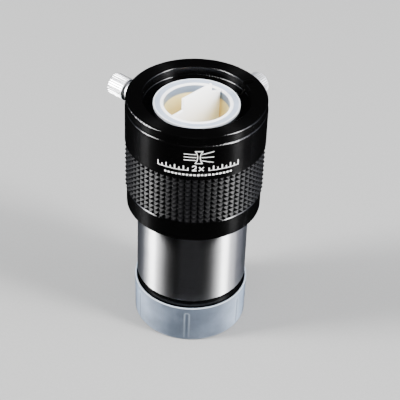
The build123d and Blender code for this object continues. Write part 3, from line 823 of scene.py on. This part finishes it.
def plug_mesh():
    """The plug as one moulding: a cup with a flange, and a web across it whose raised middle is the grip."""
    low, high = low_mm("reducer_plug"), high_mm("reducer_plug")
    flange, lip = radius_mm("reducer_plug"), PLUG_LIP
    cup = lathe(rounded([
        (AXIS_GAP, low, 0.0), (PLUG_WALL - 0.7, low, 0.3), (PLUG_WALL - 0.2, low + 0.5, 0.3),
        (PLUG_WALL, PLUG_TAPER_TOP, 0.0), (PLUG_WALL, PLUG_SEAT, 0.1), (flange, PLUG_SEAT, 0.15),
        (flange, lip, 0.18), (flange - 0.75, lip, 0.15), (flange - 0.95, lip - 0.2, 0.15),
        (PLUG_BORE + 1.35, lip - 0.2, 0.15), (PLUG_BORE + 1.05, lip + 0.1, 0.15),
        (PLUG_BORE + 0.25, lip + 0.1, 0.25), (PLUG_BORE, lip - 0.5, 0.2),
        (PLUG_BORE - 0.2, PLUG_FLOOR, 0.6), (AXIS_GAP, PLUG_FLOOR, 0.0),
    ]))
    wall, foot, step = PLUG_BORE + 0.25, PLUG_FLOOR - 0.3, PLUG_WEB_STEP
    web = plate_mesh([
        (-wall, foot), (-wall, lip - 0.05), (-step, lip), (-step, high), (step, high),
        (step, lip + 2.0), (wall, lip + 0.25), (wall, foot),
    ], PLUG_WEB_HALF, 0.14)
    web.transform(Matrix.Rotation(math.radians(PLUG_WEB_ANGLE), 4, "Z"))
    return union(cup, web)


# ---------------------------------------------------------------- barrel cap
CAP_BORE = 25.6            # radius inside
CAP_FLOOR = 1.2
CAP_RIB_FIRST = -98.5      # angle of one rib, in degrees
CAP_RIB_SPACING = 60
CAP_RIB_WIDTH = 2.5
CAP_RIB_REACH = 24.95      # radius of the ribs' crests
CAP_RIB_LOW = 2.0
CAP_RIB_HIGH = 17.2
CAP_RIB_SLOPE = 0.35       # width of the slope at a rib's edge


def cap_mesh():
    """The cap's shell with a small rolled rim, and six crush ribs raised from its bore."""
    rim = high_mm("barrel_cap")
    outer = radius_mm("barrel_cap")
    # The bore has close points, which the ribs move.
    wall = [CAP_RIB_LOW - 1 + 0.45 * step for step in range(41)]
    bore = [(CAP_BORE, height, 0.0) for height in reversed(wall) if height < rim - 0.6]
    outline = rounded([
        (AXIS_GAP, 0, 0.0), (outer - 0.25, 0, 1.1), (outer - 0.02, rim - 1.3, 0.3), (outer, rim - 1.0, 0.2),
        (outer, rim, 0.3), (CAP_BORE, rim, 0.25), *bore, (CAP_BORE, CAP_FLOOR, 0.3),
        (AXIS_GAP, CAP_FLOOR, 0.0),
    ], steps=6)

    def shape(radius, height, turn):
        if abs(radius - CAP_BORE) > 0.02 or not CAP_RIB_LOW - 1.2 < height < CAP_RIB_HIGH + 0.5:
            return radius, height
        degrees = math.degrees(turn) - CAP_RIB_FIRST
        half_cell = CAP_RIB_SPACING / 2
        across = abs((degrees + half_cell) % CAP_RIB_SPACING - half_cell) * math.pi / 180 * CAP_BORE
        half = CAP_RIB_WIDTH / 2
        above = max(height - (CAP_RIB_HIGH - half), (CAP_RIB_LOW + half) - height, 0)
        rise = min(max((half - math.hypot(across, above)) / CAP_RIB_SLOPE, 0), 1)
        return radius - (CAP_BORE - CAP_RIB_REACH) * rise, height

    return lathe(outline, segments=360, shape=shape)


# ---------------------------------------------------------------- marking
MARK_TURN = math.radians(-3.0)        # middle of the marking, from the front
MARK_RISE = 0.012                     # how far the ink stands proud, in millimetres
MARK_SINK = 0.03                      # how far it goes into the wall
MARK_LENS = 110.1                     # height of the lens symbol's middle
MARK_SCALE = 103.0                    # height of the scale's baseline
MARK_RULE = 100.9                     # height of the dashed rule
MARK_RAY_REACH = 6.4                  # from the middle to a ray's end
# Widths of the ink's lines.
LINE_FINE, LINE_LENS, LINE_CROSS, LINE_DIGIT, LINE_TICK, LINE_DASH = 0.3, 0.34, 0.4, 0.46, 0.5, 0.8


def mark_strip(made, points, width):
    """A line of ink through points of (distance along the wall, height), as a thin closed strip."""
    radius = radius_mm("receiver_body")
    dense = [Vector(points[0])]
    for start, end in zip(points, points[1:]):
        start, end = Vector(start), Vector(end)
        parts = max(1, math.ceil((end - start).length / 0.6))
        dense += [start.lerp(end, part / parts) for part in range(1, parts + 1)]
    rows = []
    for index, point in enumerate(dense):
        ahead = dense[min(index + 1, len(dense) - 1)] - dense[max(index - 1, 0)]
        side = Vector((-ahead.y, ahead.x)).normalized() * width / 2
        row = []
        for edge, level in ((side, MARK_RISE), (-side, MARK_RISE), (-side, -MARK_SINK), (side, -MARK_SINK)):
            along, height = point + edge
            turn = MARK_TURN + along / radius
            reach = (radius + level) * MM
            row.append(made.verts.new((reach * math.sin(turn), -reach * math.cos(turn), height * MM)))
        rows.append(row)
    for first, second in zip(rows, rows[1:]):
        for corner in range(4):
            after = (corner + 1) % 4
            made.faces.new((first[corner], first[after], second[after], second[corner]))
    made.faces.new(rows[0])
    made.faces.new(reversed(rows[-1]))


def arc_points(centre, radius, start_deg, end_deg, steps=14):
    """Points along an arc, with both ends."""
    made = []
    for step in range(steps + 1):
        turn = math.radians(start_deg + (end_deg - start_deg) * step / steps)
        made.append((centre[0] + radius * math.cos(turn), centre[1] + radius * math.sin(turn)))
    return made


def marking_mesh():
    """A generic mark: a diverging lens with rays, the magnification in a scale, and a dashed rule."""
    made = bmesh.new()
    middle, base = MARK_LENS, MARK_SCALE

    # The lens: two inward curves with a flat top and bottom.
    half, sag, waist = 3.1, 1.0, 0.55
    curve = (half**2 + sag**2) / (2 * sag)
    swing = math.degrees(math.asin(half / curve))
    mark_strip(made, arc_points((-waist - curve, middle), curve, -swing, swing), LINE_LENS)
    mark_strip(made, arc_points((waist + curve, middle), curve, 180 - swing, 180 + swing), LINE_LENS)
    edge = waist + sag + LINE_LENS / 2
    for level in (-half, half):
        mark_strip(made, [(-edge, middle + level), (edge, middle + level)], LINE_LENS)

    # Its rays: level before the lens, spreading after it.
    mark_strip(made, [(-MARK_RAY_REACH, middle), (-waist - 0.5, middle)], LINE_FINE)
    mark_strip(made, [(waist + 0.5, middle), (MARK_RAY_REACH, middle)], LINE_FINE)
    for side in (-1, 1):
        mark_strip(made, [(-MARK_RAY_REACH, middle + side * 1.5), (-1.25, middle + side * 1.5)], LINE_FINE)
        mark_strip(made, [(1.25, middle + side * 1.6), (MARK_RAY_REACH, middle + side * 2.8)], LINE_FINE)

    # The magnification, "2x".
    tall, curl = 2.7, 0.8
    two = arc_points((-1.85, base + tall - curl), curl, 165, -35, 12)
    mark_strip(made, two + [(-2.65, base + 0.2), (-0.9, base + 0.2)], LINE_DIGIT)
    for side in (-1, 1):
        mark_strip(made, [(0.2, base + 1.1 - side * 1.0), (2.2, base + 1.1 + side * 1.0)], LINE_CROSS)

    # The scale on both sides of it, and the dashed rule below.
    for side in (-1, 1):
        mark_strip(made, [(side * 4.2, base + 0.25), (side * 18.2, base + 0.25)], LINE_FINE)
        for step in range(8):
            along = side * (4.5 + 1.92 * step)
            mark_strip(made, [(along, base + 0.4), (along, base + (2.5 if step % 2 else 1.6))], LINE_TICK)
    for step in range(-9, 10):
        mark_strip(made, [(step * 1.6 - 0.5, MARK_RULE), (step * 1.6 + 0.5, MARK_RULE)], LINE_DASH)
    bmesh.ops.recalc_face_normals(made, faces=made.faces)
    mesh = bpy.data.meshes.new("marking")
    made.to_mesh(mesh)
    made.free()
    return mesh


# ---------------------------------------------------------------- assembly
def finish_nodes(material, *names):
    """Gives CAD nodes whose shape is right their finished material."""
    for name in names:
        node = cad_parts[name]
        if not node.material_slots:
            node.data.materials.append(material)
        for item in node.material_slots:
            item.material = material


add_camera()
add_floor()
add_lights()
add_sky()

satin_black = anodised("black_anodised", 0.165)
matt_black = anodised("black_internal", 0.62, 3000.0)

finish_nodes(satin_black, "receiver_body", "base_collar", "reducer_body", "lens_cell")
finish_nodes(matt_black, "light_baffles", "lens_retaining_ring", "element_spacer")
finish_nodes(chrome_barrel(), "nosepiece_barrel")
finish_nodes(brass(), "receiver_clamp_ring", "eyepiece_clamp_ring")
finish_nodes(dark_steel(), "collar_set_screws", "clamp_screw")
finish_nodes(nylon(), "thumb_pad_left", "thumb_pad_right", "clamp_pad")
finish_nodes(fibre(), "cell_washer")
finish_nodes(coated_glass(), "front_element", "rear_element")

add_piece("grip_pyramids", grip_mesh(), rubber(), "body", "grip_rubber", "rubber_grip", sharp=20)
for side, angle in THUMB_ANGLES.items():
    add_piece(f"knurled_screw_{side}", thumbscrew_mesh(angle, THUMB_BACKED_OUT[side]), chrome_screw(side),
              f"thumbscrew_{side}", "screw_chrome", f"thumbscrew_{side}", sharp=28)
add_piece("plug_moulding", plug_mesh(), plug_plastic(), "plug", "plug_plastic", "reducer_plug")
add_piece("cap_moulding", cap_mesh(), cap_plastic(), "barrel_cap", "cap_plastic", "barrel_cap", sharp=50)
add_piece("front_marking", marking_mesh(), print_ink(), "body", "black_anodised")
